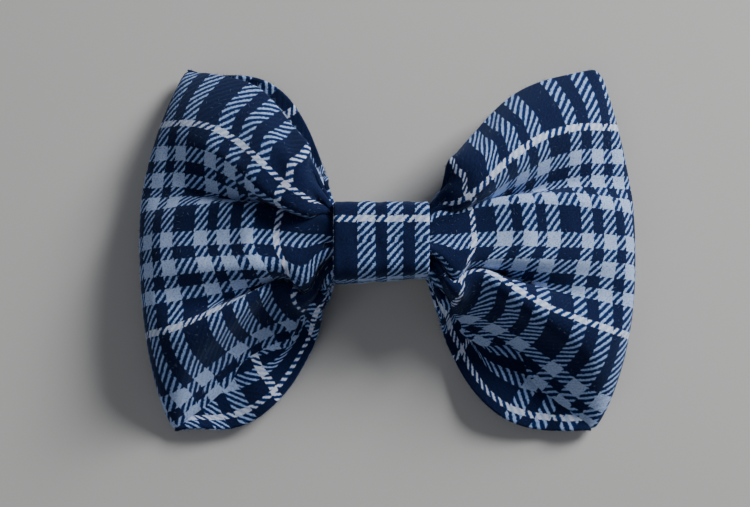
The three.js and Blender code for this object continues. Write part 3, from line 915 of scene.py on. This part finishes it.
class BOWTIE_OT_stage(bpy.types.Operator):
    """Lays the pale table, hangs the soft lights and sets up the camera"""

    bl_idname = "bowtie.stage"
    bl_label = "Stage"

    def execute(self, context):
        stage = context.scene.bowtie_stage
        bow = Vector((0, 0, 0.01))
        table = square("table_top", 1500)
        material, _, surface = new_material("Painted table top, matt")
        feed(surface, {"Base Color": (*stage.table, 1), "Roughness": 0.8})
        table.data.materials.append(material)

        def area_light(name, place, size, power):
            data = bpy.data.lights.new(name, "AREA")
            data.size = size
            data.energy = power
            light = bpy.data.objects.new(name, data)
            context.scene.collection.objects.link(light)
            light.location = place
            light.rotation_euler = (bow - Vector(place)).to_track_quat("-Z", "Y").to_euler()

        area_light("window_light", (0.68, 0.58, 0.5), 0.4, stage.light)
        area_light("fill_light", (-0.6, -0.5, 0.9), 0.9, stage.light * 0.10)
        world = bpy.data.worlds.new("soft_room")
        world.use_nodes = True
        feed(world.node_tree.nodes["Background"], {"Color": (0.75, 0.8, 0.9, 1), "Strength": 0.13})
        context.scene.world = world

        camera_data = bpy.data.cameras.new("camera")
        camera_data.lens = 85
        camera = bpy.data.objects.new("camera", camera_data)
        context.scene.collection.objects.link(camera)
        distance = 0.430
        tilt = stage.elevation
        aim = Vector((-0.0035, -0.0014, 0.008))
        camera.location = aim + distance * Vector((0, -math.cos(tilt), math.sin(tilt)))
        camera.rotation_euler = (aim - camera.location).to_track_quat("-Z", "Y").to_euler()
        context.scene.camera = camera
        return {"FINISHED"}


class BOWTIE_OT_strip(bpy.types.Operator):
    """Settles the lined strip and makes its outer cloth, interfacing and lining"""

    bl_idname = "bowtie.strip"
    bl_label = "Lined strip"

    def execute(self, context):
        sizes = context.scene.bowtie_strip
        points, u, v = strip_start(sizes)
        points = settle(points, sizes.frames)
        points = relax(points)
        points[:, :, 2] = np.maximum(points[:, :, 2], STRIP_HALF)
        rows = rows_with_seams(sizes.height, ROW_SPACING, SEAM_ROLL)
        fine, fine_u = finer(points, u, v, 2, rows)
        near, far = INTERFACING_HALF + LAYER_GAP, INTERFACING_HALF + LAYER_GAP + sizes.cloth
        outer = layer("outer_cloth_flannel", fine, fine_u, rows, near, far, SEAM_ROLL)
        outer.data.materials.append(flannel("Brushed cotton flannel, outer cloth", *OUTER_CHECK))
        fibres = strip_fibres(fine, far)
        fibres.data.materials.append(cotton_nap("Raised cotton fibres, brushed"))
        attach(fibres, "bow")
        lining = layer("lining_flannel", fine, fine_u, rows, -far, -near, SEAM_ROLL)
        lining.data.materials.append(flannel("Brushed cotton flannel, lining", *LINING_CHECK))
        stiff = layer(
            "interfacing_woven", fine[:, 2:-2], fine_u, rows[2:-2], -INTERFACING_HALF, INTERFACING_HALF,
            SEAM_ROLL,
        )
        stiff.data.materials.append(woven_interfacing("Fusible woven interfacing, strip"))
        for piece, name, slot in (
            (outer, "outer_cloth", "plaid_flannel"),
            (lining, "lining", "lining_flannel"),
            (stiff, "interfacing", "fusible"),
        ):
            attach(piece, "bow")
            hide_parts(name)
        return {"FINISHED"}


class BOWTIE_OT_knot(bpy.types.Operator):
    """Wraps the knot band and its interfacing round the gathered middle and sews it shut"""

    bl_idname = "bowtie.knot"
    bl_label = "Knot band"

    def execute(self, context):
        band = context.scene.bowtie_band
        across = BAND_HALF + band.turn_in
        half, roll = band.cloth / 2, 0.5
        rows = rows_with_seams(2 * across, 0.5, roll)
        points, around = band_grid(rows, band, 0.0, roll)
        cloth = layer("knot_band_flannel", points, around, rows, -half, half, roll, swap=True)
        cloth.data.materials.append(flannel("Brushed cotton flannel, knot band", *KNOT_CHECK))

        half, inset, depth = 0.15, 1.2, 0.95
        inner_rows = rows_with_seams(2 * (BAND_HALF - inset), 1.0, half)
        points, inner_around = band_grid(inner_rows, band, depth, 1.0)
        stiff = layer(
            "knot_interfacing_woven", points, inner_around, inner_rows, -half, half, half, swap=True,
        )
        stiff.data.materials.append(woven_interfacing("Fusible woven interfacing, knot"))

        for piece, name, slot, grid in (
            (cloth, "knot_band", "plaid_flannel", (rows, around)),
            (stiff, "knot_interfacing", "fusible", (inner_rows, inner_around)),
        ):
            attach(piece, "bow")
            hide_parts(name)

        thread = sewing_thread("Twisted cotton sewing thread, navy")
        wound = binding_path(BINDING_TURNS, BINDING_PITCH)
        binding = tube("waist_thread_wound", wound, BINDING_RADIUS, 8, thread)
        sewn = whip_stitch_path(STITCH_COUNT, BAND_HALF - 1.6)
        stitches = tube("band_whip_stitches", sewn, STITCH_RADIUS, 8, thread)
        for piece, name in ((binding, "waist_thread"), (stitches, "band_stitch")):
            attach(piece, "bow")
            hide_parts(name)
        return {"FINISHED"}


class BOWTIE_OT_clip(bpy.types.Operator):
    """Makes the stamped clip, its pins and its two wire springs"""

    bl_idname = "bowtie.clip"
    bl_label = "Collar clip"

    def execute(self, context):
        steel = nickel_plate("Stamped steel, nickel plated and tumbled")
        wire = spring_wire("Drawn spring steel wire, oil finished")
        for name, body in STAMPINGS.items():
            piece = bevelled_copy(name, EDGE_ROUNDING)
            piece.data.materials.clear()
            piece.data.materials.append(steel)
            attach(piece, body)
            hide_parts(name)
        for label, side in (("left", -1), ("right", 1)):
            low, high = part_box(f"{label}_pin")
            centre = (low + high) / 2 / MM
            spring = tube(f"{label}_torsion_spring", spring_path(centre, side), WIRE_RADIUS, 10, wire)
            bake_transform(spring)
            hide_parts(f"{label}_spring")
        return {"FINISHED"}


class BOWTIE_PT_panel(bpy.types.Panel):
    """Lists the steps that build the bow tie"""

    bl_label = "Bow Tie"
    bl_idname = "BOWTIE_PT_panel"
    bl_space_type = "VIEW_3D"
    bl_region_type = "UI"
    bl_category = "Bow Tie"

    def draw(self, context):
        scene = context.scene
        for settings in (scene.bowtie_strip, scene.bowtie_band, scene.bowtie_stage):
            box = self.layout.box()
            for key in settings.bl_rna.properties.keys():
                if key not in ("rna_type", "name"):
                    box.prop(settings, key)
        for step in STEPS:
            self.layout.operator(step.bl_idname)


STEPS = (BOWTIE_OT_stage, BOWTIE_OT_strip, BOWTIE_OT_knot, BOWTIE_OT_clip)
CLASSES = (StripSizes, BandSizes, StageColours, *STEPS, BOWTIE_PT_panel)


def register():
    for one in CLASSES:
        bpy.utils.register_class(one)
    bpy.types.Scene.bowtie_strip = PointerProperty(type=StripSizes)
    bpy.types.Scene.bowtie_band = PointerProperty(type=BandSizes)
    bpy.types.Scene.bowtie_stage = PointerProperty(type=StageColours)


def unregister():
    del bpy.types.Scene.bowtie_strip
    del bpy.types.Scene.bowtie_band
    del bpy.types.Scene.bowtie_stage
    for one in reversed(CLASSES):
        bpy.utils.unregister_class(one)


def main():
    register()
    bpy.ops.bowtie.stage()
    bpy.ops.bowtie.strip()
    bpy.ops.bowtie.knot()
    bpy.ops.bowtie.clip()


if __name__ == "__main__":
    main()
